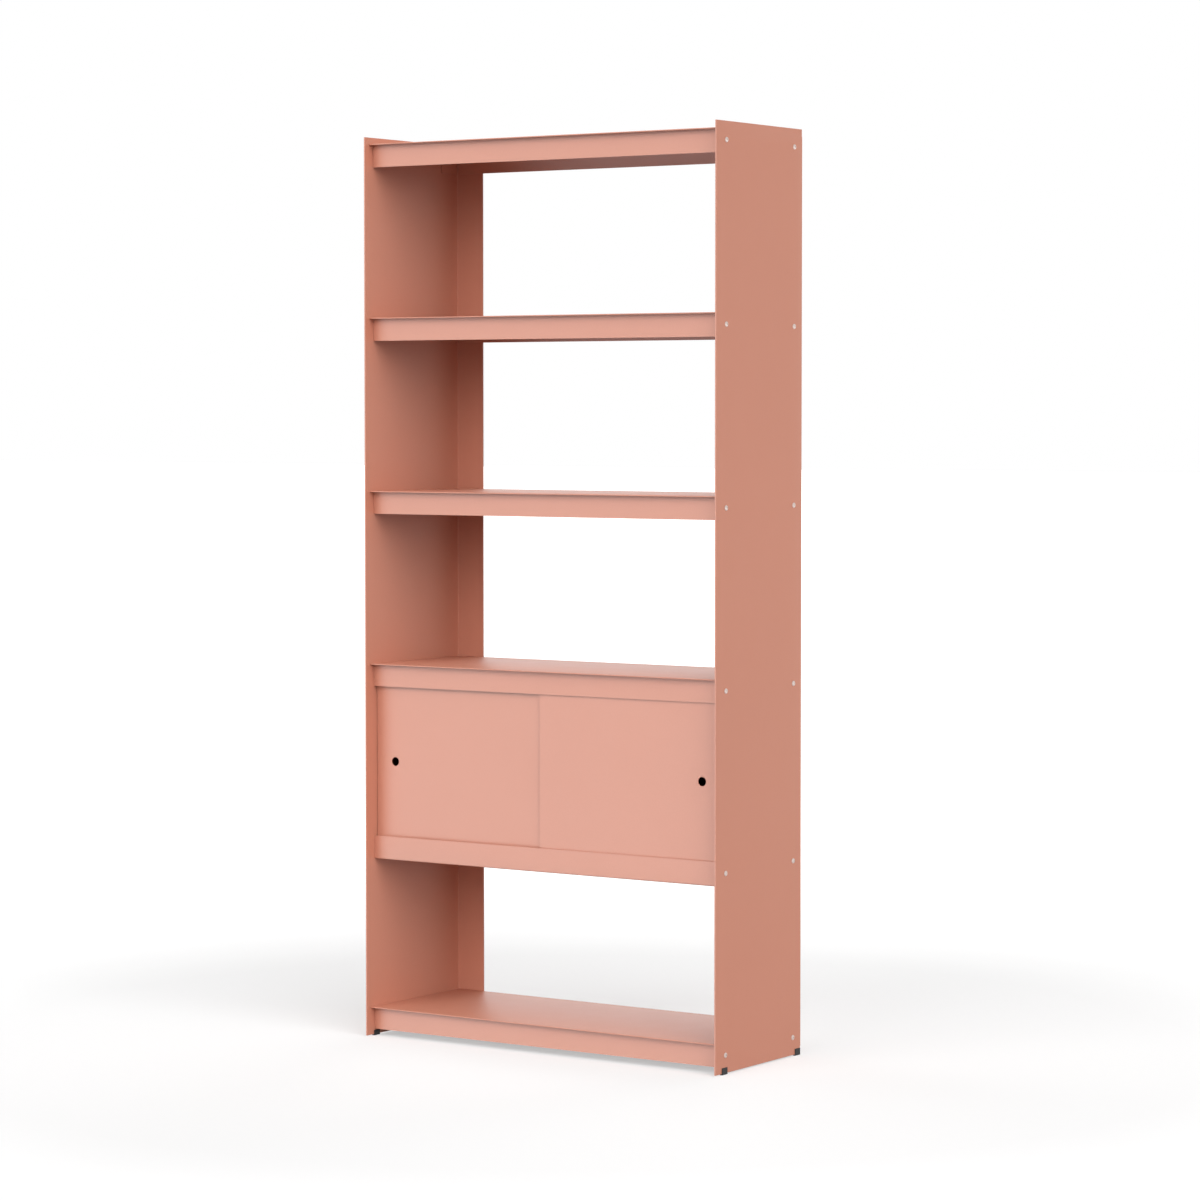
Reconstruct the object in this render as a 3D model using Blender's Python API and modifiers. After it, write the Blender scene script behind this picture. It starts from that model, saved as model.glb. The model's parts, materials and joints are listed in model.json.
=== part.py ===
"""Free-standing bookcase of folded sheet steel, with two sliding doors.

Two side panels with rear flanges carry six folded shelves on screws. Two flat
doors slide in plastic tracks and close the space between the second and the
third shelf from the floor. A back panel closes that space behind.

Metres, +Z up. X runs along the shelves, Y from the front to the back. The
origin is on the floor, under the middle of the bookcase.
"""
import math

import bmesh
import bpy
from mathutils import Matrix, Vector

# Whole bookcase
WIDTH = 0.800
DEPTH = 0.302
HEIGHT = 1.7345
LEVEL_NAMES = (
    "bottom_shelf",
    "cabinet_floor",
    "cabinet_top_shelf",
    "middle_shelf",
    "upper_shelf",
    "top_shelf",
)
CABINET_FLOOR = "cabinet_floor"
CABINET_TOP = "cabinet_top_shelf"

# Side panels
SIDE_SHEET = 0.0025
SIDE_INNER_BEND_RADIUS = 0.002
FLANGE_WIDTH = 0.064
FLANGE_END_RELIEF = 0.014
LOWEST_SCREW_RISE = 0.033
HIGHEST_SCREW_DROP = 0.034

# Shelves
SHELF_SHEET = 0.0012
SHELF_INNER_FOLD_RADIUS = 0.0012
SHELF_SETBACK = 0.0123
NOSE_DEPTH = 0.0127
NOSE_EDGE_FLAT = 0.0001
LIP_HEIGHT = 0.044
SHELF_TOP_ABOVE_SCREW = 0.0215
UPSTAND_HEIGHT = 0.045
FLOOR_BELOW_SCREW = 0.0244
UPSTAND_CORNER_RADIUS = 0.0035

# Tabs at the shelf ends and their welded nuts
FRONT_SCREW_INSET = 0.034
REAR_SCREW_INSET = 0.0315
TAB_REACH = 0.025
TAB_RELIEF = 0.001
TAB_MARGIN = 0.0035
TAB_STEP = 0.0002
NUT_RADIUS = 0.0045
NUT_LENGTH = 0.005

# Shelf screws
SCREW_RADIUS = 0.0025
SCREW_HEAD_RADIUS = 0.005
SCREW_HEAD_HEIGHT = 0.0026
SCREW_HEAD_RIM = 0.0005
SCREW_TIP = 0.002
SOCKET_RADIUS = 0.0016
SOCKET_DEPTH = 0.0014

# Feet
FOOT_LIFT = 0.0025
FOOT_LENGTH = 0.018
FOOT_WALL = 0.0012
FOOT_OUTER_GRIP = 0.0105
FOOT_INNER_GRIP = 0.008
FOOT_FRONT_INSET = 0.0305
FOOT_REAR_INSET = 0.015
FOOT_ROUNDING = 0.0005

# Doors
DOOR_SHEET = 0.0012
DOOR_OVERLAP = 0.019
DOOR_SIDE_GAP = 0.001
FINGER_HOLE_RADIUS = 0.0085
FINGER_HOLE_INSET = 0.044
NOTCH_CLEARANCE = 0.002
LIFT_OUT_PLAY = 0.001

# Door tracks and glides
GROOVE_WIDTH = 0.0034
TOP_GROOVE_WIDTH = 0.002
TRACK_WALL = 0.001
TRACK_RIB = 0.0012
TRACK_BASE = 0.0012
BOTTOM_RIB_HEIGHT = 0.008
TOP_ENGAGEMENT = 0.008
TRACK_END_CLEARANCE = 0.001
GLIDE_LENGTH = 0.024
GLIDE_PLAY = 0.0002
GLIDE_BASE = 0.0015
GLIDE_GRIP = 0.006
GLIDE_INSET = 0.030

# Cabinet back panel and its screws
BACK_SHEET = 0.001
BACK_SIDE_GAP = 0.0005
BACK_SCREW_RADIUS = 0.002
BACK_SCREW_HEAD_RADIUS = 0.0038
BACK_SCREW_HEAD_HEIGHT = 0.0018
BACK_SCREW_TIP = 0.003
BACK_SCREW_INSET = 0.150

# Clearances between neighbouring pieces
SEAT_GAP = 0.0003
BORE_CLEARANCE = 0.0003

# Fineness of round shapes
ARC_STEPS = 4
BORE_STEPS = 16
SCREW_STEPS = 12
DOME_STEPS = 3
SOCKET_SIDES = 6
FINGER_HOLE_STEPS = 32
CUTTER_MARGIN = 0.001
WELD_DISTANCE = 0.00001
SHARP_ANGLE = math.radians(35)

# Places that follow from the sizes above
PANEL_HEIGHT = HEIGHT - FOOT_LIFT
SCREW_SPAN = PANEL_HEIGHT - LOWEST_SCREW_RISE - HIGHEST_SCREW_DROP
LEVEL_PITCH = SCREW_SPAN / (len(LEVEL_NAMES) - 1)
FRONT = -DEPTH / 2
BACK = DEPTH / 2
SIDE_BEND_RADIUS = SIDE_INNER_BEND_RADIUS + SIDE_SHEET
SHELF_FOLD_RADIUS = SHELF_INNER_FOLD_RADIUS + SHELF_SHEET
INNER_HALF_WIDTH = WIDTH / 2 - SIDE_SHEET
SHELF_HALF_LENGTH = INNER_HALF_WIDTH - SEAT_GAP
TAB_FACE = SHELF_HALF_LENGTH - TAB_STEP - SHELF_SHEET
SHELF_FRONT = FRONT + SHELF_SETBACK
LIP_FACE = SHELF_FRONT + NOSE_DEPTH
SHELF_BACK = BACK - SIDE_SHEET - SEAT_GAP
CORNER_RELIEF = SIDE_INNER_BEND_RADIUS + SEAT_GAP
SCREW_DEPTHS = {"front": FRONT + FRONT_SCREW_INSET, "rear": BACK - REAR_SCREW_INSET}
SIDES = {"left": -1, "right": 1}


def screw_height(level):
    """Height of the screws of one level, counted from the floor."""
    return FOOT_LIFT + LOWEST_SCREW_RISE + level * LEVEL_PITCH


def top_face(level):
    """Height of the upper face of an ordinary shelf."""
    return screw_height(level) + SHELF_TOP_ABOVE_SCREW


FLOOR_LEVEL = LEVEL_NAMES.index(CABINET_FLOOR)
ROOF_LEVEL = LEVEL_NAMES.index(CABINET_TOP)
FLOOR_UNDERSIDE = screw_height(FLOOR_LEVEL) - FLOOR_BELOW_SCREW
FLOOR_FACE = FLOOR_UNDERSIDE + SHELF_SHEET
ROOF_FACE = top_face(ROOF_LEVEL) - SHELF_SHEET
FRONT_TAB_REACH = NUT_RADIUS + TAB_MARGIN

# Doors and tracks, worked out from the cabinet
TRACK_FRONT = LIP_FACE + SHELF_SHEET + SEAT_GAP
DOOR_PITCH = GROOVE_WIDTH + TRACK_RIB
TRACK_DEPTH = 2 * TRACK_WALL + GROOVE_WIDTH + DOOR_PITCH
FRONT_DOOR_PLANE = TRACK_FRONT + TRACK_WALL + GROOVE_WIDTH / 2
REAR_DOOR_PLANE = FRONT_DOOR_PLANE + DOOR_PITCH
NUT_END = TAB_FACE - NUT_LENGTH
SCREW_END = NUT_END - SCREW_TIP
TRACK_HALF_LENGTH = SCREW_END - TRACK_END_CLEARANCE
TRACK_FLOOR = FLOOR_FACE + SEAT_GAP + TRACK_BASE
TRACK_CEILING = ROOF_FACE - SEAT_GAP - TRACK_BASE
TOP_PLAY = BOTTOM_RIB_HEIGHT + LIFT_OUT_PLAY
TOP_RIB_HEIGHT = TOP_PLAY + TOP_ENGAGEMENT
GLIDE_UNDERSIDE = TRACK_FLOOR + SEAT_GAP
DOOR_BOTTOM = GLIDE_UNDERSIDE + GLIDE_BASE + SEAT_GAP
DOOR_TOP = TRACK_CEILING - TOP_PLAY
DOOR_EDGE = INNER_HALF_WIDTH - DOOR_SIDE_GAP
DOOR_WIDTH = DOOR_EDGE + DOOR_OVERLAP / 2
DOOR_TRAVEL = 2 * DOOR_EDGE - DOOR_WIDTH
NOTCH_WIDTH = DOOR_EDGE - SCREW_END + NOTCH_CLEARANCE
BOTTOM_NOTCH_TOP = screw_height(FLOOR_LEVEL) + FRONT_TAB_REACH + NOTCH_CLEARANCE
TOP_NOTCH_BOTTOM = screw_height(ROOF_LEVEL) - FRONT_TAB_REACH - NOTCH_CLEARANCE
OPENING_BOTTOM = FLOOR_UNDERSIDE + UPSTAND_HEIGHT
OPENING_TOP = top_face(ROOF_LEVEL) - LIP_HEIGHT
FINGER_HOLE_HEIGHT = (OPENING_BOTTOM + OPENING_TOP) / 2

# Outlines drawn in the depth-height plane and run along X
ALONG_X = Matrix(((0, 0, 1, 0), (1, 0, 0, 0), (0, 1, 0, 0), (0, 0, 0, 1)))
# Outlines drawn in the width-height plane and run along Y
ALONG_Y = Matrix.Rotation(math.radians(90), 4, "X")

# Colours as seen on a screen, each channel from 0 to 1, then roughness and metallic
PAINT = ((0.875, 0.650, 0.570), 0.50, 0.0)
SCREW_STEEL = ((0.780, 0.760, 0.740), 0.32, 1.0)
BLACK_PLASTIC = ((0.050, 0.048, 0.048), 0.55, 0.0)
WHITE_PLASTIC = ((0.800, 0.790, 0.770), 0.45, 0.0)


def clear_scene():
    """Remove whatever the file holds when it is opened."""
    for item in list(bpy.data.objects):
        bpy.data.objects.remove(item, do_unlink=True)


def new_collection(name):
    """A collection linked to the scene."""
    group = bpy.data.collections.new(name)
    bpy.context.scene.collection.children.link(group)
    return group


def linear(channel):
    """A screen colour channel as a linear value."""
    if channel <= 0.04045:
        return channel / 12.92
    return ((channel + 0.055) / 1.055) ** 2.4


def finish(name, look):
    """A Principled material for one piece."""
    colour, roughness, metallic = look
    material = bpy.data.materials.new(name + "_finish")
    material.use_nodes = True
    shader = material.node_tree.nodes["Principled BSDF"]
    rgba = [linear(channel) for channel in colour] + [1.0]
    shader.inputs["Base Color"].default_value = rgba
    shader.inputs["Roughness"].default_value = roughness
    shader.inputs["Metallic"].default_value = metallic
    material.diffuse_color = rgba
    return material


def add_piece(name, mesh, look, location=(0, 0, 0), parent=None, rotation=None):
    """Place a mesh in the bookcase as one named piece with its own material."""
    piece = bpy.data.objects.new(name, mesh)
    PARTS.objects.link(piece)
    piece.location = location
    if rotation is not None:
        piece.rotation_euler = rotation
    if parent is not None:
        piece.parent = parent
    if not mesh.materials:
        mesh.materials.append(None)
    piece.material_slots[0].link = "OBJECT"
    piece.material_slots[0].material = finish(name, look)
    return piece


def add_helper(name, mesh):
    """Place a mesh among the cutters, where it only shapes other pieces."""
    helper = bpy.data.objects.new(name, mesh)
    CUTTERS.objects.link(helper)
    helper.hide_render = True
    helper.display_type = "WIRE"
    return helper


def combine(piece, helper, operation):
    """Join a helper to a piece, or cut it out of the piece."""
    boolean = piece.modifiers.new(operation.lower() + "_" + helper.name, "BOOLEAN")
    boolean.operation = operation
    boolean.solver = "EXACT"
    boolean.object = helper


def fillet(corner, before, after, radius):
    """Points of an arc that rounds one corner of an outline."""
    to_before = (before - corner).normalized()
    to_after = (after - corner).normalized()
    half_angle = to_before.angle(to_after) / 2
    centre = corner + (to_before + to_after).normalized() * radius / math.sin(half_angle)
    start = corner + to_before * radius / math.tan(half_angle) - centre
    end = corner + to_after * radius / math.tan(half_angle) - centre
    turn = math.atan2(start.x * end.y - start.y * end.x, start.dot(end))
    points = []
    for step in range(ARC_STEPS + 1):
        angle = turn * step / ARC_STEPS
        across = Vector((-start.y, start.x)) * math.sin(angle)
        points.append(centre + start * math.cos(angle) + across)
    return points


def outline(corners):
    """An outline from corners given as (u, v) or (u, v, radius)."""
    places = [Vector(corner[:2]) for corner in corners]
    points = []
    for index, corner in enumerate(corners):
        if len(corner) == 2:
            points.append(places[index])
            continue
        before = places[index - 1]
        after = places[(index + 1) % len(places)]
        points.extend(fillet(places[index], before, after, corner[2]))
    return points


def circle(centre, radius, steps):
    """A round outline."""
    angles = [2 * math.pi * step / steps for step in range(steps)]
    return [Vector(centre) + radius * Vector((math.cos(a), math.sin(a))) for a in angles]


def extruded(name, loops, thickness, turn):
    """A flat outline, with any holes, given a thickness about its own plane."""
    curve = bpy.data.curves.new(name, "CURVE")
    curve.dimensions = "2D"
    curve.fill_mode = "BOTH"
    curve.extrude = thickness / 2
    for points in loops:
        spline = curve.splines.new("POLY")
        spline.points.add(len(points) - 1)
        for target, point in zip(spline.points, points):
            target.co = (point.x, point.y, 0, 1)
        spline.use_cyclic_u = True
    source = bpy.data.objects.new(name + "_outline", curve)
    CUTTERS.objects.link(source)
    seen = source.evaluated_get(bpy.context.evaluated_depsgraph_get())
    mesh = bpy.data.meshes.new_from_object(seen)
    bpy.data.objects.remove(source, do_unlink=True)
    bpy.data.curves.remove(curve)
    mesh.name = name
    mesh.materials.clear()
    mesh.transform(turn)
    tidy_mesh(mesh)
    return mesh


def tidy_mesh(mesh):
    """Weld loose caps and point every face outwards."""
    work = bmesh.new()
    work.from_mesh(mesh)
    bmesh.ops.remove_doubles(work, verts=work.verts, dist=WELD_DISTANCE)
    bmesh.ops.recalc_face_normals(work, faces=work.faces)
    work.to_mesh(mesh)
    work.free()


def boxes_mesh(name, boxes):
    """One mesh of separate boxes, each given by its low and high corner."""
    work = bmesh.new()
    for low, high in boxes:
        low, high = Vector(low), Vector(high)
        place = Matrix.Translation((low + high) / 2) @ Matrix.Diagonal((*(high - low), 1))
        bmesh.ops.create_cube(work, size=1, matrix=place)
    mesh = bpy.data.meshes.new(name)
    work.to_mesh(mesh)
    work.free()
    return mesh


def rods_mesh(name, rods, radius, steps=BORE_STEPS):
    """One mesh of separate cylinders, each given by its two end points."""
    work = bmesh.new()
    for start, end in rods:
        start, end = Vector(start), Vector(end)
        axis = end - start
        turn = axis.to_track_quat("Z", "Y").to_matrix().to_4x4()
        place = Matrix.Translation((start + end) / 2) @ turn
        bmesh.ops.create_cone(
            work, cap_ends=True, segments=steps, depth=axis.length,
            radius1=radius, radius2=radius, matrix=place,
        )
    mesh = bpy.data.meshes.new(name)
    work.to_mesh(mesh)
    work.free()
    return mesh


def side_section(hand):
    """A side panel seen from above: a flat sheet with a flange at its rear edge."""
    outside = WIDTH / 2
    tip = WIDTH / 2 - FLANGE_WIDTH
    corners = outline([
        (outside, FRONT),
        (outside, BACK, SIDE_BEND_RADIUS),
        (tip, BACK),
        (tip, BACK - SIDE_SHEET),
        (INNER_HALF_WIDTH, BACK - SIDE_SHEET, SIDE_INNER_BEND_RADIUS),
        (INNER_HALF_WIDTH, FRONT),
    ])
    return [Vector((hand * p.x, p.y)) for p in corners]


def side_panel(side):
    """A tall sheet with a rear flange that stops short of both its ends."""
    hand = SIDES[side]
    name = side + "_side_panel"
    mesh = extruded(name, [side_section(hand)], PANEL_HEIGHT, Matrix())
    panel = add_piece(name, mesh, PAINT, (0, 0, FOOT_LIFT + PANEL_HEIGHT / 2))
    low = FOOT_LIFT
    high = FOOT_LIFT + PANEL_HEIGHT
    near, far = sorted((
        hand * (WIDTH / 2 + CUTTER_MARGIN),
        hand * (WIDTH / 2 - FLANGE_WIDTH - CUTTER_MARGIN),
    ))
    front, back = BACK - SIDE_BEND_RADIUS, BACK + CUTTER_MARGIN
    reliefs = boxes_mesh(name + "_flange_ends", [
        ((near, front, low - CUTTER_MARGIN), (far, back, low + FLANGE_END_RELIEF)),
        ((near, front, high - FLANGE_END_RELIEF), (far, back, high + CUTTER_MARGIN)),
    ])
    combine(panel, add_helper(name + "_flange_ends", reliefs), "DIFFERENCE")
    outer, inner = WIDTH / 2 + CUTTER_MARGIN, INNER_HALF_WIDTH - CUTTER_MARGIN
    rods = []
    for level in range(len(LEVEL_NAMES)):
        rods += level_rods(level, hand, inner, outer)
    bores = rods_mesh(name + "_bores", rods, SCREW_RADIUS + BORE_CLEARANCE)
    combine(panel, add_helper(name + "_bores", bores), "DIFFERENCE")


def level_rods(level, hand, inner, outer):
    """Axes along one side's screws of a level, between two distances from the middle."""
    height = screw_height(level)
    depths = SCREW_DEPTHS.values()
    return [((hand * inner, y, height), (hand * outer, y, height)) for y in depths]


def shelf_span(level):
    """Lowest and highest point of the folded sheet of one level."""
    if level == FLOOR_LEVEL:
        return FLOOR_UNDERSIDE, FLOOR_UNDERSIDE + UPSTAND_HEIGHT
    return top_face(level) - LIP_HEIGHT, top_face(level)


def shelf_outline(level):
    """An ordinary shelf seen from its end: doubled nose, front lip, rear lip."""
    top = top_face(level)
    under = top - SHELF_SHEET
    nose = top - 2 * SHELF_SHEET
    foot = top - LIP_HEIGHT
    nose_radius = SHELF_SHEET - NOSE_EDGE_FLAT / 2
    return outline([
        (SHELF_FRONT, top, nose_radius),
        (SHELF_FRONT, nose, nose_radius),
        (LIP_FACE, nose),
        (LIP_FACE, foot),
        (LIP_FACE + SHELF_SHEET, foot),
        (LIP_FACE + SHELF_SHEET, under),
        (SHELF_BACK - SHELF_SHEET, under, SHELF_INNER_FOLD_RADIUS),
        (SHELF_BACK - SHELF_SHEET, foot),
        (SHELF_BACK, foot),
        (SHELF_BACK, top, SHELF_FOLD_RADIUS),
    ])


def floor_outline():
    """The cabinet floor seen from its end: a tray with two upstands."""
    rim = FLOOR_UNDERSIDE + UPSTAND_HEIGHT
    return outline([
        (LIP_FACE, rim),
        (LIP_FACE, FLOOR_UNDERSIDE, SHELF_FOLD_RADIUS),
        (SHELF_BACK, FLOOR_UNDERSIDE, SHELF_FOLD_RADIUS),
        (SHELF_BACK, rim),
        (SHELF_BACK - SHELF_SHEET, rim),
        (SHELF_BACK - SHELF_SHEET, FLOOR_FACE, SHELF_INNER_FOLD_RADIUS),
        (LIP_FACE + SHELF_SHEET, FLOOR_FACE, SHELF_INNER_FOLD_RADIUS),
        (LIP_FACE + SHELF_SHEET, rim),
    ])


def tab_boxes(level):
    """The four end tabs that the screws pull against the side panels."""
    is_floor = level == FLOOR_LEVEL
    screw = screw_height(level)
    if is_floor:
        root = FLOOR_UNDERSIDE + SHELF_SHEET / 2
        front_end = screw + FRONT_TAB_REACH
        rear_end = OPENING_BOTTOM
    else:
        root = top_face(level) - SHELF_SHEET / 2
        front_end = screw - FRONT_TAB_REACH
        rear_end = top_face(level) - LIP_HEIGHT
    front_near = LIP_FACE + SHELF_SHEET + TAB_RELIEF
    front_far = SCREW_DEPTHS["front"] + TAB_REACH
    rear_near = SCREW_DEPTHS["rear"] - TAB_REACH
    rear_far = SCREW_DEPTHS["rear"] + TAB_REACH
    boxes = []
    for hand in SIDES.values():
        inner, outer = sorted((hand * TAB_FACE, hand * (TAB_FACE + SHELF_SHEET)))
        for near, far, end in (
            (front_near, front_far, front_end),
            (rear_near, rear_far, rear_end),
        ):
            low, high = sorted((root, end))
            boxes.append(((inner, near, low), (outer, far, high)))
    return boxes


def nut_rods(level, inner, outer):
    """Axes of a level's four nuts or bores, between two distances from the middle."""
    return [rod for hand in SIDES.values() for rod in level_rods(level, hand, inner, outer)]


def back_screw_rods(level):
    """Bores for the cabinet back panel's screws through a level's rear lip."""
    height = back_screw_height(level)
    near = SHELF_BACK - SHELF_SHEET - SEAT_GAP - BACK_SHEET - CUTTER_MARGIN
    far = SHELF_BACK + CUTTER_MARGIN
    places = (-BACK_SCREW_INSET, BACK_SCREW_INSET)
    return [((x, near, height), (x, far, height)) for x in places]


def back_screw_height(level):
    """Height of the back panel's screws, at the middle of the rear lip."""
    if level == FLOOR_LEVEL:
        return FLOOR_UNDERSIDE + UPSTAND_HEIGHT / 2
    return top_face(level) - LIP_HEIGHT / 2


def relieve_rear_corners(shelf, level):
    """Cut a shelf's two rear corners clear of the bends in the side panels."""
    low, high = shelf_span(level)
    boxes = []
    for hand in SIDES.values():
        inner, outer = sorted((
            hand * (SHELF_HALF_LENGTH - CORNER_RELIEF),
            hand * (SHELF_HALF_LENGTH + CUTTER_MARGIN),
        ))
        boxes.append((
            (inner, SHELF_BACK - CORNER_RELIEF, low - CUTTER_MARGIN),
            (outer, SHELF_BACK + CUTTER_MARGIN, high + CUTTER_MARGIN),
        ))
    name = LEVEL_NAMES[level] + "_corner_relief"
    combine(shelf, add_helper(name, boxes_mesh(name, boxes)), "DIFFERENCE")


def round_upstand_corners(shelf):
    """Round the two lower corners of the cabinet floor's front upstand."""
    radius = UPSTAND_CORNER_RADIUS
    depth = radius + 2 * CUTTER_MARGIN
    for side, hand in SIDES.items():
        edge = SHELF_HALF_LENGTH
        low = FLOOR_UNDERSIDE
        arc = fillet(
            Vector((edge, low)), Vector((edge - radius, low)), Vector((edge, low + radius)),
            radius,
        )
        skirt = [
            Vector((edge + CUTTER_MARGIN, low + radius)),
            Vector((edge + CUTTER_MARGIN, low - CUTTER_MARGIN)),
            Vector((edge - radius, low - CUTTER_MARGIN)),
        ]
        points = [Vector((hand * p.x, p.y)) for p in arc + skirt]
        name = side + "_upstand_corner"
        mesh = extruded(name, [points], depth, ALONG_Y)
        cutter = add_helper(name, mesh)
        cutter.location.y = LIP_FACE - CUTTER_MARGIN + depth / 2
        combine(shelf, cutter, "DIFFERENCE")


def shelf(level):
    """One folded shelf with its end tabs, welded nuts and bores."""
    name = LEVEL_NAMES[level]
    points = floor_outline() if level == FLOOR_LEVEL else shelf_outline(level)
    mesh = extruded(name, [points], 2 * SHELF_HALF_LENGTH, ALONG_X)
    piece = add_piece(name, mesh, PAINT)
    relieve_rear_corners(piece, level)
    tabs = add_helper(name + "_tabs", boxes_mesh(name + "_tabs", tab_boxes(level)))
    combine(piece, tabs, "UNION")
    weld_depth = TAB_FACE + SHELF_SHEET / 2
    nut_mesh = rods_mesh(name + "_nuts", nut_rods(level, NUT_END, weld_depth), NUT_RADIUS)
    combine(piece, add_helper(name + "_nuts", nut_mesh), "UNION")
    bore_ends = (NUT_END - CUTTER_MARGIN, SHELF_HALF_LENGTH + CUTTER_MARGIN)
    bore_mesh = rods_mesh(
        name + "_bores", nut_rods(level, *bore_ends), SCREW_RADIUS + BORE_CLEARANCE,
    )
    combine(piece, add_helper(name + "_bores", bore_mesh), "DIFFERENCE")
    if level in (FLOOR_LEVEL, ROOF_LEVEL):
        back_mesh = rods_mesh(
            name + "_back_bores", back_screw_rods(level), BACK_SCREW_RADIUS + BORE_CLEARANCE,
        )
        combine(piece, add_helper(name + "_back_bores", back_mesh), "DIFFERENCE")
    if level == FLOOR_LEVEL:
        round_upstand_corners(piece)
    return piece


def screw_mesh(name, head_radius, head_height, radius, length):
    """A button-head screw, turned about Z, with the head's seat at the origin."""
    profile = [(0, head_height)]
    for step in range(1, DOME_STEPS):
        angle = math.radians(90) * step / DOME_STEPS
        rise = (head_height - SCREW_HEAD_RIM) * math.cos(angle)
        profile.append((head_radius * math.sin(angle), SCREW_HEAD_RIM + rise))
    profile += [(head_radius, SCREW_HEAD_RIM), (head_radius, 0)]
    profile += [(radius, 0), (radius, -length), (0, -length)]
    mesh = bpy.data.meshes.new(name + "_profile")
    edges = [(i, i + 1) for i in range(len(profile) - 1)]
    mesh.from_pydata([(r, 0, z) for r, z in profile], edges, [])
    blank = bpy.data.objects.new(name + "_blank", mesh)
    CUTTERS.objects.link(blank)
    turned = blank.modifiers.new("turned", "SCREW")
    turned.axis = "Z"
    turned.steps = SCREW_STEPS
    turned.render_steps = SCREW_STEPS
    turned.use_merge_vertices = True
    turned.merge_threshold = WELD_DISTANCE
    socket_rods = [((0, 0, head_height - SOCKET_DEPTH), (0, 0, head_height + CUTTER_MARGIN))]
    socket = add_helper(
        name + "_socket", rods_mesh(name + "_socket", socket_rods, SOCKET_RADIUS, SOCKET_SIDES),
    )
    combine(blank, socket, "DIFFERENCE")
    seen = blank.evaluated_get(bpy.context.evaluated_depsgraph_get())
    result = bpy.data.meshes.new_from_object(seen)
    result.name = name
    bpy.data.objects.remove(blank, do_unlink=True)
    bpy.data.objects.remove(socket, do_unlink=True)
    tidy_mesh(result)
    result.shade_smooth()
    result.set_sharp_from_angle(angle=SHARP_ANGLE)
    return result


def shelf_screws():
    """Two screws at each end of each shelf, driven in from outside the panels."""
    length = WIDTH / 2 + SEAT_GAP - SCREW_END
    mesh = screw_mesh(
        "shelf_screw", SCREW_HEAD_RADIUS, SCREW_HEAD_HEIGHT, SCREW_RADIUS, length,
    )
    for side, hand in SIDES.items():
        for level, level_name in enumerate(LEVEL_NAMES):
            for place, depth in SCREW_DEPTHS.items():
                seat = (hand * (WIDTH / 2 + SEAT_GAP), depth, screw_height(level))
                name = "_".join((side, level_name, place, "screw"))
                turn = (0, hand * math.radians(90), 0)
                add_piece(name, mesh, SCREW_STEEL, seat, rotation=turn)


def back_panel():
    """The sheet behind the cabinet, with four screws through the rear lips."""
    half = TAB_FACE - BACK_SIDE_GAP
    far = SHELF_BACK - SHELF_SHEET - SEAT_GAP
    near = far - BACK_SHEET
    low = FLOOR_FACE + SHELF_FOLD_RADIUS
    high = ROOF_FACE - SHELF_FOLD_RADIUS
    mesh = boxes_mesh("cabinet_back_panel", [((-half, near, low), (half, far, high))])
    panel = add_piece("cabinet_back_panel", mesh, PAINT)
    rods = back_screw_rods(FLOOR_LEVEL) + back_screw_rods(ROOF_LEVEL)
    bores = rods_mesh("back_panel_bores", rods, BACK_SCREW_RADIUS + BORE_CLEARANCE)
    combine(panel, add_helper("back_panel_bores", bores), "DIFFERENCE")
    length = SHELF_BACK + SEAT_GAP - near + BACK_SCREW_TIP
    screw = screw_mesh(
        "back_panel_screw", BACK_SCREW_HEAD_RADIUS, BACK_SCREW_HEAD_HEIGHT,
        BACK_SCREW_RADIUS, length,
    )
    for row, level in (("bottom", FLOOR_LEVEL), ("top", ROOF_LEVEL)):
        for side, hand in SIDES.items():
            seat = (
                hand * BACK_SCREW_INSET, SHELF_BACK + SEAT_GAP, back_screw_height(level),
            )
            name = "back_panel_" + row + "_" + side + "_screw"
            add_piece(name, screw, SCREW_STEEL, seat, rotation=(math.radians(-90), 0, 0))


def feet():
    """Four moulded feet, each clipped over the lower edge of a side panel."""
    outer_face = FOOT_WALL + SEAT_GAP
    inner_face = -SIDE_SHEET - SEAT_GAP - FOOT_WALL
    slot_floor = FOOT_LIFT - SEAT_GAP
    outer_top = FOOT_LIFT + FOOT_OUTER_GRIP
    inner_top = FOOT_LIFT + FOOT_INNER_GRIP
    corners = [
        (outer_face, 0, FOOT_ROUNDING),
        (outer_face, outer_top, FOOT_ROUNDING),
        (SEAT_GAP, outer_top),
        (SEAT_GAP, slot_floor),
        (-SIDE_SHEET - SEAT_GAP, slot_floor),
        (-SIDE_SHEET - SEAT_GAP, inner_top),
        (inner_face, inner_top, FOOT_ROUNDING),
        (inner_face, 0, FOOT_ROUNDING),
    ]
    depths = {"front": FRONT + FOOT_FRONT_INSET, "rear": BACK - FOOT_REAR_INSET}
    for side, hand in SIDES.items():
        points = [Vector((hand * p.x, p.y)) for p in outline(corners)]
        mesh = extruded(side + "_foot", [points], FOOT_LENGTH, ALONG_Y)
        for place, depth in depths.items():
            name = side + "_" + place + "_foot"
            add_piece(name, mesh, BLACK_PLASTIC, (hand * WIDTH / 2, depth, 0))


def track_outline(base, direction, rib_height, groove):
    """Two grooves between three ribs, on a base, seen from the track's end."""
    root = base + direction * TRACK_BASE
    tip = root + direction * rib_height
    grooves = []
    for plane in (FRONT_DOOR_PLANE, REAR_DOOR_PLANE):
        grooves += [
            (plane - groove / 2, tip), (plane - groove / 2, root),
            (plane + groove / 2, root), (plane + groove / 2, tip),
        ]
    far = TRACK_FRONT + TRACK_DEPTH
    return outline([
        (TRACK_FRONT, base, SHELF_INNER_FOLD_RADIUS), (TRACK_FRONT, tip), *grooves,
        (far, tip), (far, base),
    ])


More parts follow.
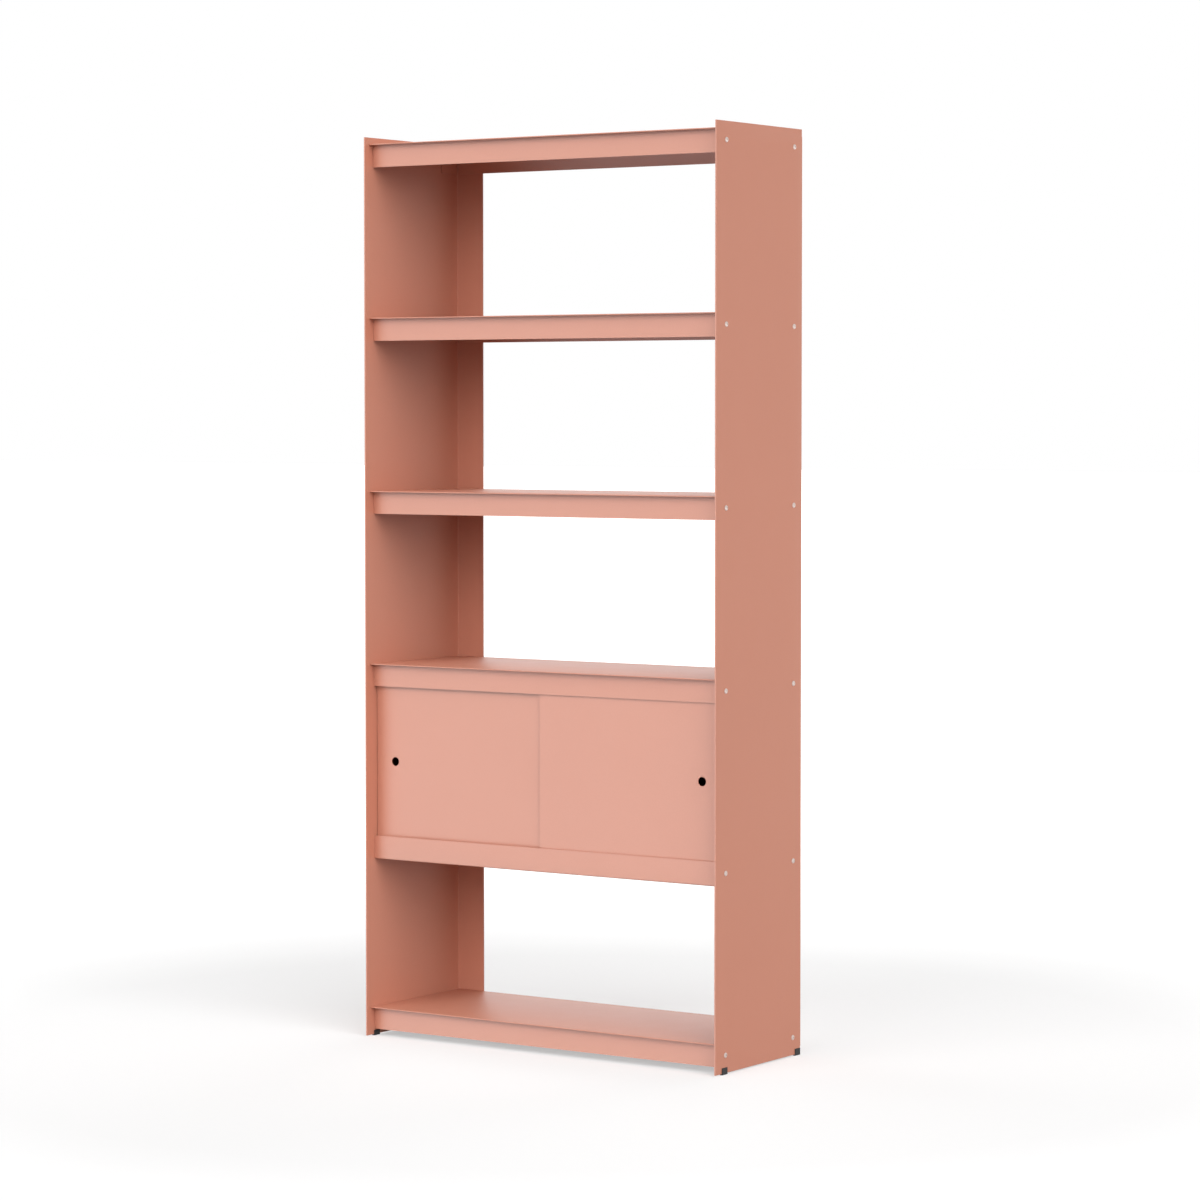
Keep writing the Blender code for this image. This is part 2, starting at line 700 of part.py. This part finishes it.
def door_tracks():
    """The lower track carries the doors, the upper one only guides them."""
    lower = track_outline(FLOOR_FACE + SEAT_GAP, 1, BOTTOM_RIB_HEIGHT, GROOVE_WIDTH)
    upper = track_outline(ROOF_FACE - SEAT_GAP, -1, TOP_RIB_HEIGHT, TOP_GROOVE_WIDTH)
    for name, points in (("door_bottom_track", lower), ("door_top_track", upper)):
        mesh = extruded(name, [points], 2 * TRACK_HALF_LENGTH, ALONG_X)
        add_piece(name, mesh, WHITE_PLASTIC)


def door(side, plane):
    """A flat sheet door with a finger hole and its two glides, on one slide."""
    hand = SIDES[side]
    middle = hand * (DOOR_EDGE - DOOR_WIDTH / 2)
    slide = bpy.data.objects.new(side + "_door_slide", None)
    PARTS.objects.link(slide)
    slide.location = (middle, plane, DOOR_BOTTOM)
    half = DOOR_WIDTH / 2
    height = DOOR_TOP - DOOR_BOTTOM
    low_notch = BOTTOM_NOTCH_TOP - DOOR_BOTTOM
    high_notch = TOP_NOTCH_BOTTOM - DOOR_BOTTOM
    edge = [
        (half - NOTCH_WIDTH, 0), (half - NOTCH_WIDTH, low_notch), (half, low_notch),
        (half, high_notch), (half - NOTCH_WIDTH, high_notch), (half - NOTCH_WIDTH, height),
    ]
    mirrored = [(-u, v) for u, v in reversed(edge)]
    hole_centre = (hand * (half - FINGER_HOLE_INSET), FINGER_HOLE_HEIGHT - DOOR_BOTTOM)
    hole = circle(hole_centre, FINGER_HOLE_RADIUS, FINGER_HOLE_STEPS)
    name = side + "_door"
    mesh = extruded(name, [outline(edge + mirrored), hole], DOOR_SHEET, ALONG_Y)
    add_piece(name, mesh, PAINT, parent=slide)
    for place, sign in (("outer", hand), ("inner", -hand)):
        along = sign * (half - NOTCH_WIDTH - GLIDE_INSET - GLIDE_LENGTH / 2)
        add_glide(side + "_door_" + place + "_glide", along, slide)


def add_glide(name, along, slide):
    """A plastic shoe clipped over a door's lower edge, running in the track."""
    half = GROOVE_WIDTH / 2 - GLIDE_PLAY
    slot = DOOR_SHEET / 2 + SEAT_GAP
    underside = GLIDE_UNDERSIDE - DOOR_BOTTOM
    points = outline([
        (-half, underside), (half, underside), (half, GLIDE_GRIP), (slot, GLIDE_GRIP),
        (slot, -SEAT_GAP), (-slot, -SEAT_GAP), (-slot, GLIDE_GRIP), (-half, GLIDE_GRIP),
    ])
    mesh = extruded(name, [points], GLIDE_LENGTH, ALONG_X)
    add_piece(name, mesh, BLACK_PLASTIC, (along, 0, 0), parent=slide)


def build():
    """Make every piece of the bookcase."""
    for side in SIDES:
        side_panel(side)
    for level in range(len(LEVEL_NAMES)):
        shelf(level)
    shelf_screws()
    back_panel()
    feet()
    door_tracks()
    door("right", FRONT_DOOR_PLANE)
    door("left", REAR_DOOR_PLANE)
    print("door travel in metres:", round(DOOR_TRAVEL, 5))


clear_scene()
PARTS = new_collection("bookcase_with_doors")
CUTTERS = new_collection("cutters")
build()
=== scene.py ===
"""Looks of the bookcase with sliding doors: finishes, turned screws, floor, light and camera.

Metres, +Z up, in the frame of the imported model. X runs along the shelves, Y from the front to the
back. Colours are written as screen values from 0 to 1 and turned into linear ones where used.
"""

import json
import math

import bmesh
import bpy
from mathutils import Matrix, Vector

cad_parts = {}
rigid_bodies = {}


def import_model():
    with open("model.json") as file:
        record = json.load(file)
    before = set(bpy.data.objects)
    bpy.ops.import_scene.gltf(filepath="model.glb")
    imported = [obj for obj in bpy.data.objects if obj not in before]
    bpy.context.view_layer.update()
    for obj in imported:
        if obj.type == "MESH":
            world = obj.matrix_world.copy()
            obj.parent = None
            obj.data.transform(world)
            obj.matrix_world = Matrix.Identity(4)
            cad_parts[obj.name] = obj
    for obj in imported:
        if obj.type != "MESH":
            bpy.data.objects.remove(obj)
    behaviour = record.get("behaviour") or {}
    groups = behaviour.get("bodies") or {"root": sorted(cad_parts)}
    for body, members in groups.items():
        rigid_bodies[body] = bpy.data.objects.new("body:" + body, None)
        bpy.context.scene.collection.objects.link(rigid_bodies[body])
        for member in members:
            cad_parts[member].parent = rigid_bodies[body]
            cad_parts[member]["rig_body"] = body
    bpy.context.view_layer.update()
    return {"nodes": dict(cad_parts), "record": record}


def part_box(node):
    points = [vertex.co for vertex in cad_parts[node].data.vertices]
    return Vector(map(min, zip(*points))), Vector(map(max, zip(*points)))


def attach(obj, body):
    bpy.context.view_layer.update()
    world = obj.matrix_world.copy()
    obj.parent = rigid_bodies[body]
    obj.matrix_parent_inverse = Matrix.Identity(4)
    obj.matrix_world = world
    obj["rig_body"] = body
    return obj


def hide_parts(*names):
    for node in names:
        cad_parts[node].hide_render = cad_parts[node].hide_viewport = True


# Camera, at the photograph's viewing angle
CAMERA_PLACE = (4.0973, -5.9840, 1.2128)
CAMERA_YAW = 0.5953
CAMERA_PITCH = -0.0404
CAMERA_LENS = 114.62
CAMERA_SENSOR = 36.0
CAMERA_SHIFT = -0.03

# Colours as seen on a screen
SALMON = (0.742, 0.492, 0.405)
STEEL = (0.850, 0.790, 0.765)
BLACK = (0.105, 0.100, 0.098)
PALE_PLASTIC = (0.800, 0.790, 0.770)
FLOOR_COLOUR = (0.735, 0.735, 0.735)
FLOOR_BOUNCE_COLOUR = (0.570, 0.570, 0.570)
WHITE = (1.0, 1.0, 1.0)

# The screen's tone curve, straight below its knee and a power above it
CURVE_KNEE = 0.04045
CURVE_SLOPE = 12.92
CURVE_OFFSET = 0.055
CURVE_POWER = 2.4

# The part of a noise texture's range that is spread over a layer's own range
NOISE_LOW = 0.3
NOISE_HIGH = 0.7

# Powder coat: layers of noise, in cells for each metre, with their ranges or their depth
COAT_DRIFT = {"cells": 2.5, "detail": 2.0, "low": 0.990, "high": 1.010}
COAT_CLOUD = {"cells": 38.0, "detail": 3.0, "low": 0.997, "high": 1.003}
COAT_SPECK = {"cells": 1400.0, "detail": 1.0, "low": 0.970, "high": 1.030}
COAT_ROUGHNESS = {"cells": 22.0, "detail": 3.0, "low": 0.490, "high": 0.510}
COAT_FINE_ROUGHNESS = {"cells": 900.0, "detail": 1.0, "low": -0.03, "high": 0.03}
COAT_PEEL = {"cells": 260.0, "detail": 1.0, "depth": 0.00003}
COAT_GRAIN = {"cells": 1300.0, "detail": 2.0, "depth": 0.00003}

# Screw steel
STEEL_MARKS = {"cells": 9000.0, "detail": 1.0, "depth": 0.000004}
STEEL_MARK_TONE = (0.96, 1.03)
STEEL_BLOTCH = {"cells": 700.0, "detail": 2.0, "low": 0.94, "high": 1.04}
STEEL_ROUGHNESS = (0.30, 0.42)

# Black plastic
BLACK_TONE = {"cells": 160.0, "detail": 2.0, "low": 0.90, "high": 1.10}
BLACK_GRAIN = {"cells": 2600.0, "detail": 1.0, "depth": 0.00002}
BLACK_ROUGHNESS = (0.45, 0.62)

# Track plastic, whose lines are drawn out along X
DIE_LINES = {"cells": 1800.0, "detail": 2.0, "depth": 0.00001}
DIE_LINE_STRETCH = (0.01, 1.0, 1.0)
DIE_LINE_TONE = (0.96, 1.03)
TRACK_ROUGHNESS = (0.38, 0.50)

# Studio
SKY_STRENGTH = 0.175
SEEN_SKY_STRENGTH = 1.0
SUNS = {
    "front_key": {"azimuth": -8, "elevation": 25, "spread": 50, "strength": 1.70},
    "right_key": {"azimuth": 62, "elevation": 30, "spread": 60, "strength": 3.00},
    "back_fill": {"azimuth": 180, "elevation": 14, "spread": 40, "strength": 1.25},
    "left_fill": {"azimuth": -95, "elevation": 15, "spread": 44, "strength": 1.00},
}
SHINE_CARDS = {
    "front_low_card": {"azimuth": -35, "elevation": -20, "spread": 40, "strength": 2.80},
    "front_high_card": {"azimuth": -35, "elevation": 21, "spread": 55, "strength": 1.95},
    "rear_left_card": {"azimuth": -155, "elevation": 10, "spread": 50, "strength": 0.72},
}

# Floor
FLOOR_HALF_SIZE = 60.0
FLOOR_SQUARES = 2
FLOOR_TONE = {"cells": 60.0, "detail": 2.0, "low": 0.995, "high": 1.005}
FLOOR_ROUGHNESS = 0.9
FLOOR_GLOW_NEAR = 0.46
FLOOR_GLOW_FAR = 1.0
FLOOR_NEAR_RADIUS = 1.2
FLOOR_FAR_RADIUS = 4.0

# Rounding of cut edges, by the material slot of the node
EDGE_ROUNDING = {
    "salmon_paint": 0.00030,
    "black_plastic": 0.00025,
    "track_plastic": 0.00020,
    "screw_steel": 0.00015,
}
EDGE_SEGMENTS = 2
WELD_DISTANCE = 0.00001
FLAT_ANGLE = math.radians(0.2)
SMOOTH_ANGLE = math.radians(32)

# Turned screws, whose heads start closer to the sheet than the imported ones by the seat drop
SHELF_SCREW = {"shank": 0.0025, "head": 0.0026, "socket": 0.0017, "socket_depth": 0.0014}
BACK_SCREW = {"shank": 0.0020, "head": 0.0018, "socket": 0.0013, "socket_depth": 0.0010}
SCREW_SIDES = 48
DOME_RINGS = 8
SEAT_DROP = 0.00025
HEAD_RIM = 0.0004
RIM_ROUNDING = 0.00015
SOCKET_SIDES = 6
SOCKET_LAND = 1.3
SOCKET_CONE = 0.0004
THREAD_PITCH = 0.0008
THREAD_DEPTH = 0.00045
THREAD_LENGTH = 0.0048
THREAD_RINGS = 8
POINT_CHAMFER = 0.0008


def linear(channel):
    """A screen colour channel as a linear value."""
    if channel <= CURVE_KNEE:
        return channel / CURVE_SLOPE
    return ((channel + CURVE_OFFSET) / (1 + CURVE_OFFSET)) ** CURVE_POWER


def rgb(colour):
    """A screen colour as linear red, green and blue."""
    return [linear(channel) for channel in colour]


def new_material(name):
    """A node material with one Principled shader."""
    material = bpy.data.materials.new(name)
    material.use_nodes = True
    tree = material.node_tree
    tree.nodes.clear()
    output = tree.nodes.new("ShaderNodeOutputMaterial")
    shader = tree.nodes.new("ShaderNodeBsdfPrincipled")
    tree.links.new(shader.outputs["BSDF"], output.inputs["Surface"])
    return material, tree, shader


def feed(tree, socket, value):
    """Set a socket to a number, or link it to another node's output."""
    if isinstance(value, (int, float)):
        socket.default_value = value
    else:
        tree.links.new(value, socket)


def calculate(tree, operation, first, second):
    """Two values joined by a math operation."""
    node = tree.nodes.new("ShaderNodeMath")
    node.operation = operation
    feed(tree, node.inputs[0], first)
    feed(tree, node.inputs[1], second)
    return node.outputs["Value"]


def spread(tree, value, low, high, from_low=NOISE_LOW, from_high=NOISE_HIGH):
    """A value moved from one range into another."""
    node = tree.nodes.new("ShaderNodeMapRange")
    node.inputs["From Min"].default_value = from_low
    node.inputs["From Max"].default_value = from_high
    node.inputs["To Min"].default_value = low
    node.inputs["To Max"].default_value = high
    feed(tree, node.inputs["Value"], value)
    return node.outputs["Result"]


def noise(tree, place, layer):
    """The plain noise of a layer."""
    node = tree.nodes.new("ShaderNodeTexNoise")
    node.inputs["Scale"].default_value = layer["cells"]
    node.inputs["Detail"].default_value = layer["detail"]
    feed(tree, node.inputs["Vector"], place)
    return node.outputs["Fac"]


def ranged_noise(tree, place, layer):
    """The noise of a layer, spread over the layer's own range."""
    return spread(tree, noise(tree, place, layer), layer["low"], layer["high"])


def relief(tree, height, depth, under=None):
    """A bump of a real depth, on top of another one if given."""
    node = tree.nodes.new("ShaderNodeBump")
    node.inputs["Strength"].default_value = 1.0
    node.inputs["Distance"].default_value = depth
    feed(tree, node.inputs["Height"], height)
    if under is not None:
        feed(tree, node.inputs["Normal"], under)
    return node.outputs["Normal"]


def toned(tree, colour, tone):
    """A colour made lighter and darker by a value around 1."""
    node = tree.nodes.new("ShaderNodeVectorMath")
    node.operation = "SCALE"
    node.inputs[0].default_value = rgb(colour)
    feed(tree, node.inputs["Scale"], tone)
    return node.outputs["Vector"]


def piece_place(tree):
    """Coordinates in metres that move with the piece."""
    return tree.nodes.new("ShaderNodeTexCoord").outputs["Object"]


def powder_coat():
    """Satin powder coat on sheet steel: fine grain over a faint orange peel."""
    material, tree, shader = new_material("salmon_powder_coat")
    place = piece_place(tree)
    drift = ranged_noise(tree, place, COAT_DRIFT)
    cloud = ranged_noise(tree, place, COAT_CLOUD)
    speck = ranged_noise(tree, place, COAT_SPECK)
    tone = calculate(tree, "MULTIPLY", calculate(tree, "MULTIPLY", drift, cloud), speck)
    feed(tree, shader.inputs["Base Color"], toned(tree, SALMON, tone))
    broad = ranged_noise(tree, place, COAT_ROUGHNESS)
    fine = ranged_noise(tree, place, COAT_FINE_ROUGHNESS)
    feed(tree, shader.inputs["Roughness"], calculate(tree, "ADD", broad, fine))
    peel = relief(tree, noise(tree, place, COAT_PEEL), COAT_PEEL["depth"])
    grain = relief(tree, noise(tree, place, COAT_GRAIN), COAT_GRAIN["depth"], peel)
    feed(tree, shader.inputs["Normal"], grain)
    return material


def screw_steel():
    """Plated steel with turning marks round each screw's own axis."""
    material, tree, shader = new_material("plated_screw_steel")
    place = piece_place(tree)
    apart = tree.nodes.new("ShaderNodeSeparateXYZ")
    feed(tree, apart.inputs["Vector"], place)
    across = calculate(tree, "MULTIPLY", apart.outputs["X"], apart.outputs["X"])
    along = calculate(tree, "MULTIPLY", apart.outputs["Y"], apart.outputs["Y"])
    reach = calculate(tree, "POWER", calculate(tree, "ADD", across, along), 0.5)
    ring = tree.nodes.new("ShaderNodeCombineXYZ")
    feed(tree, ring.inputs["X"], reach)
    feed(tree, ring.inputs["Y"], apart.outputs["Z"])
    marks = noise(tree, ring.outputs["Vector"], STEEL_MARKS)
    mark_tone = spread(tree, marks, *STEEL_MARK_TONE)
    tone = calculate(tree, "MULTIPLY", mark_tone, ranged_noise(tree, place, STEEL_BLOTCH))
    feed(tree, shader.inputs["Base Color"], toned(tree, STEEL, tone))
    feed(tree, shader.inputs["Roughness"], spread(tree, marks, *STEEL_ROUGHNESS))
    feed(tree, shader.inputs["Normal"], relief(tree, marks, STEEL_MARKS["depth"]))
    shader.inputs["Metallic"].default_value = 1.0
    return material


def black_plastic():
    """Moulded black plastic with a fine spark-eroded grain."""
    material, tree, shader = new_material("black_moulded_plastic")
    place = piece_place(tree)
    tone = ranged_noise(tree, place, BLACK_TONE)
    feed(tree, shader.inputs["Base Color"], toned(tree, BLACK, tone))
    grain = noise(tree, place, BLACK_GRAIN)
    feed(tree, shader.inputs["Roughness"], spread(tree, grain, *BLACK_ROUGHNESS))
    feed(tree, shader.inputs["Normal"], relief(tree, grain, BLACK_GRAIN["depth"]))
    return material


def track_plastic():
    """Extruded plastic with faint die lines along its length."""
    material, tree, shader = new_material("pale_extruded_plastic")
    drawn = tree.nodes.new("ShaderNodeMapping")
    drawn.inputs["Scale"].default_value = DIE_LINE_STRETCH
    feed(tree, drawn.inputs["Vector"], piece_place(tree))
    lines = noise(tree, drawn.outputs["Vector"], DIE_LINES)
    tone = spread(tree, lines, *DIE_LINE_TONE)
    feed(tree, shader.inputs["Base Color"], toned(tree, PALE_PLASTIC, tone))
    feed(tree, shader.inputs["Roughness"], spread(tree, lines, *TRACK_ROUGHNESS))
    feed(tree, shader.inputs["Normal"], relief(tree, lines, DIE_LINES["depth"]))
    return material


def smoothing_group():
    """Geometry nodes that shade bends smooth and keep corners sharp."""
    group = bpy.data.node_groups.new("smooth_by_angle", "GeometryNodeTree")
    for in_out in ("INPUT", "OUTPUT"):
        group.interface.new_socket("Geometry", in_out=in_out, socket_type="NodeSocketGeometry")
    nodes, links = group.nodes, group.links
    start = nodes.new("NodeGroupInput")
    end = nodes.new("NodeGroupOutput")
    plain = nodes.new("GeometryNodeRemoveAttribute")
    plain.inputs["Name"].default_value = "custom_normal"
    faces = nodes.new("GeometryNodeSetShadeSmooth")
    faces.domain = "FACE"
    edges = nodes.new("GeometryNodeSetShadeSmooth")
    edges.domain = "EDGE"
    edges.inputs["Shade Smooth"].default_value = False
    angle = nodes.new("GeometryNodeInputMeshEdgeAngle")
    corner = nodes.new("FunctionNodeCompare")
    corner.data_type = "FLOAT"
    corner.operation = "GREATER_THAN"
    corner.inputs[1].default_value = SMOOTH_ANGLE
    links.new(start.outputs[0], plain.inputs["Geometry"])
    links.new(plain.outputs["Geometry"], faces.inputs["Geometry"])
    links.new(faces.outputs["Geometry"], edges.inputs["Geometry"])
    links.new(angle.outputs["Unsigned Angle"], corner.inputs[0])
    links.new(corner.outputs["Result"], edges.inputs["Selection"])
    links.new(edges.outputs["Geometry"], end.inputs[0])
    return group


def round_edges(piece, rounding, group):
    """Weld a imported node's triangles, join flat ones, smooth its bends and round its cut edges."""
    weld = piece.modifiers.new("weld", "WELD")
    weld.merge_threshold = WELD_DISTANCE
    flat = piece.modifiers.new("join_flat", "DECIMATE")
    flat.decimate_type = "DISSOLVE"
    flat.angle_limit = FLAT_ANGLE
    smooth = piece.modifiers.new("smooth_bends", "NODES")
    smooth.node_group = group
    bevel = piece.modifiers.new("round_edges", "BEVEL")
    bevel.width = rounding
    bevel.segments = EDGE_SEGMENTS
    bevel.limit_method = "ANGLE"
    bevel.angle_limit = SMOOTH_ANGLE
    bevel.harden_normals = True


def dress_nodes(looks):
    """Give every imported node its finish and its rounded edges."""
    slots = {part["node"]: part["material_slot"] for part in frame["record"]["subparts"]}
    group = smoothing_group()
    for name, piece in frame["nodes"].items():
        for holder in piece.material_slots:
            holder.material = looks[slots[name]]
        round_edges(piece, EDGE_ROUNDING[slots[name]], group)


def ring_of(work, height, reach):
    """A ring of points round the screw's axis. Reach gives the radius at each step."""
    ring = []
    for step in range(SCREW_SIDES):
        angle = 2 * math.pi * step / SCREW_SIDES
        radius = reach(step)
        ring.append(work.verts.new((radius * math.cos(angle), radius * math.sin(angle), height)))
    return ring


def join_rings(work, rings):
    """Faces between each ring and the next one."""
    for upper, lower in zip(rings, rings[1:]):
        for step in range(SCREW_SIDES):
            after = (step + 1) % SCREW_SIDES
            work.faces.new((upper[step], lower[step], lower[after], upper[after]))


def circle(radius):
    """The same reach at each step round the axis."""
    return lambda step: radius


def hexagon(radius):
    """The reach of a hexagon with that corner radius at each step round the axis."""
    steps_of_side = SCREW_SIDES // SOCKET_SIDES
    half_side = math.pi / SOCKET_SIDES

    def reach(step):
        within = 2 * half_side * (step % steps_of_side) / steps_of_side - half_side
        return radius * math.cos(half_side) / math.cos(within)

    return reach


def thread(radius, height):
    """The reach of a screw thread at one height, at each step round the axis."""
    def reach(step):
        phase = (height / THREAD_PITCH - step / SCREW_SIDES) % 1.0
        return radius - THREAD_DEPTH * abs(2 * phase - 1)

    return reach


def head_rings(work, sizes, head_radius, head, socket_floor):
    """The rings of a button head, from the socket's floor over the dome to the seat."""
    rings = [ring_of(work, socket_floor, hexagon(sizes["socket"]))]
    land = SOCKET_LAND * sizes["socket"]
    dome_start = math.asin(land / head_radius)
    dome_top = HEAD_RIM + (head - HEAD_RIM) * math.cos(dome_start)
    rings.append(ring_of(work, dome_top, hexagon(sizes["socket"])))
    for step in range(DOME_RINGS):
        angle = dome_start + (math.pi / 2 - dome_start) * step / (DOME_RINGS - 1)
        height = HEAD_RIM + (head - HEAD_RIM) * math.cos(angle)
        rings.append(ring_of(work, height, circle(head_radius * math.sin(angle))))
    rings.append(ring_of(work, RIM_ROUNDING, circle(head_radius)))
    rings.append(ring_of(work, 0.0, circle(head_radius - RIM_ROUNDING)))
    return rings


def shank_rings(work, shank, length):
    """The rings of a shank, from the seat along the thread to the chamfered point."""
    rings = [ring_of(work, 0.0, circle(shank))]
    thread_top = POINT_CHAMFER + THREAD_LENGTH - length
    thread_end = POINT_CHAMFER - length
    rings.append(ring_of(work, thread_top + THREAD_DEPTH, circle(shank)))
    count = round(THREAD_RINGS * THREAD_LENGTH / THREAD_PITCH)
    for step in range(count + 1):
        height = thread_top + (thread_end - thread_top) * step / count
        rings.append(ring_of(work, height, thread(shank, height)))
    rings.append(ring_of(work, -length, circle(shank - POINT_CHAMFER)))
    return rings


def turned_screw(name, sizes, head_radius, length, steel):
    """A button-head screw with a hexagon socket, pointing down from its seat at the origin."""
    work = bmesh.new()
    head = sizes["head"] + SEAT_DROP
    socket_floor = head - sizes["socket_depth"]
    rings = head_rings(work, sizes, head_radius, head, socket_floor)
    rings += shank_rings(work, sizes["shank"], length)
    join_rings(work, rings)
    drill_point = work.verts.new((0.0, 0.0, socket_floor - SOCKET_CONE))
    for step in range(SCREW_SIDES):
        after = (step + 1) % SCREW_SIDES
        work.faces.new((rings[0][step], rings[0][after], drill_point))
    work.faces.new(rings[-1][::-1])
    bmesh.ops.recalc_face_normals(work, faces=work.faces)
    mesh = bpy.data.meshes.new(name)
    work.to_mesh(mesh)
    work.free()
    mesh.shade_smooth()
    mesh.set_sharp_from_angle(angle=SMOOTH_ANGLE)
    mesh.materials.append(steel)
    return mesh


def place_screws(steel):
    """Put a finely turned screw in the place of each packed one.

    Each screw is turned by an angle of its own, worked out from its place.
    """
    meshes = {}
    for name, node in frame["nodes"].items():
        if not name.endswith("_screw"):
            continue
        low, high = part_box(name)
        middle, extent = (low + high) / 2, high - low
        axis = 1 if name.startswith("back_panel") else 0
        sizes = BACK_SCREW if axis == 1 else SHELF_SCREW
        outwards = 1 if middle[axis] > 0 else -1
        length = extent[axis] - sizes["head"] - SEAT_DROP
        if axis not in meshes:
            meshes[axis] = turned_screw("turned_screw", sizes, extent[2] / 2, length, steel)
        seat = middle.copy()
        seat[axis] += outwards * (extent[axis] / 2 - sizes["head"] - SEAT_DROP)
        direction = Vector((0.0, 0.0, 0.0))
        direction[axis] = outwards
        screw = bpy.data.objects.new(name + "_turned", meshes[axis])
        bpy.context.scene.collection.objects.link(screw)
        aim = direction.to_track_quat("Z", "Y").to_matrix().to_4x4()
        turn = Matrix.Rotation(seat.z + seat.y, 4, "Z")
        screw.matrix_world = Matrix.Translation(seat) @ aim @ turn
        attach(screw, node["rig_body"])
        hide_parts(name)


def seen_ray(tree):
    """1 for camera, glossy and transmission rays, and 0 for diffuse ones."""
    path = tree.nodes.new("ShaderNodeLightPath")
    shiny = calculate(
        tree, "MAXIMUM", path.outputs["Is Glossy Ray"], path.outputs["Is Transmission Ray"],
    )
    return calculate(tree, "MAXIMUM", path.outputs["Is Camera Ray"], shiny)


def build_sky():
    """An even pale sky, seen as white."""
    world = bpy.data.worlds.new("studio_sky")
    world.use_nodes = True
    tree = world.node_tree
    background = tree.nodes["Background"]
    background.inputs["Color"].default_value = (*rgb(WHITE), 1.0)
    strength = spread(tree, seen_ray(tree), SKY_STRENGTH, SEEN_SKY_STRENGTH, 0.0, 1.0)
    feed(tree, background.inputs["Strength"], strength)
    bpy.context.scene.world = world


def add_sun(name, sun):
    """One broad soft light from a fixed direction."""
    lamp = bpy.data.lights.new(name, "SUN")
    lamp.energy = sun["strength"]
    lamp.angle = math.radians(sun["spread"])
    holder = bpy.data.objects.new(name, lamp)
    bpy.context.scene.collection.objects.link(holder)
    azimuth, elevation = math.radians(sun["azimuth"]), math.radians(sun["elevation"])
    holder.rotation_euler = (math.pi / 2 - elevation, 0.0, azimuth)
    return holder


def build_suns():
    """Broad soft lights that give no sheen, and bright cards that give nothing else.

    Most of the front sheen comes from below the horizon, where only upright faces catch it, so
    the shelf tops don't burn out when they are seen from behind.
    """
    for name, sun in SUNS.items():
        add_sun(name, sun).visible_glossy = False
    for name, card in SHINE_CARDS.items():
        add_sun(name, card).visible_diffuse = False


def build_floor():
    """A pale matt floor that takes the bookcase's shadow and is white where no shadow lies.

    It casts no shadow itself, so it doesn't cut off broad lights near the horizon or the card
    below it. Diffuse rays get a darker colour and no glow, so it throws little light back up.
    """
    work = bmesh.new()
    bmesh.ops.create_grid(
        work, x_segments=FLOOR_SQUARES, y_segments=FLOOR_SQUARES, size=FLOOR_HALF_SIZE,
    )
    mesh = bpy.data.meshes.new("studio_floor")
    work.to_mesh(mesh)
    work.free()
    floor = bpy.data.objects.new("studio_floor", mesh)
    bpy.context.scene.collection.objects.link(floor)
    floor.visible_shadow = False
    material, tree, shader = new_material("studio_floor")
    mesh.materials.append(material)
    place = piece_place(tree)
    seen = seen_ray(tree)
    tone = ranged_noise(tree, place, FLOOR_TONE)
    colour = tree.nodes.new("ShaderNodeMix")
    colour.data_type = "RGBA"
    colours = [socket for socket in colour.inputs if socket.type == "RGBA"]
    feed(tree, colour.inputs["Factor"], seen)
    feed(tree, colours[0], toned(tree, FLOOR_BOUNCE_COLOUR, tone))
    feed(tree, colours[1], toned(tree, FLOOR_COLOUR, tone))
    result = next(socket for socket in colour.outputs if socket.type == "RGBA")
    feed(tree, shader.inputs["Base Color"], result)
    shader.inputs["Roughness"].default_value = FLOOR_ROUGHNESS
    shader.inputs["Specular IOR Level"].default_value = 0.0
    reach = tree.nodes.new("ShaderNodeVectorMath")
    reach.operation = "LENGTH"
    feed(tree, reach.inputs[0], place)
    glow = spread(
        tree, reach.outputs["Value"],
        FLOOR_GLOW_NEAR, FLOOR_GLOW_FAR, FLOOR_NEAR_RADIUS, FLOOR_FAR_RADIUS,
    )
    shader.inputs["Emission Color"].default_value = (*rgb(WHITE), 1.0)
    feed(tree, shader.inputs["Emission Strength"], calculate(tree, "MULTIPLY", glow, seen))


def build_camera():
    """The camera at the photograph's viewing angle."""
    lens = bpy.data.cameras.new("camera")
    lens.sensor_width = CAMERA_SENSOR
    lens.lens = CAMERA_LENS
    lens.shift_y = CAMERA_SHIFT
    camera = bpy.data.objects.new("camera", lens)
    camera.location = CAMERA_PLACE
    camera.rotation_euler = (math.pi / 2 + CAMERA_PITCH, 0.0, CAMERA_YAW)
    bpy.context.scene.collection.objects.link(camera)
    bpy.context.scene.camera = camera


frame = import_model()
bpy.context.scene.view_settings.view_transform = "Standard"
build_camera()
build_sky()
build_suns()
build_floor()
finishes = {
    "salmon_paint": powder_coat(),
    "screw_steel": screw_steel(),
    "black_plastic": black_plastic(),
    "track_plastic": track_plastic(),
}
dress_nodes(finishes)
place_screws(finishes["screw_steel"])
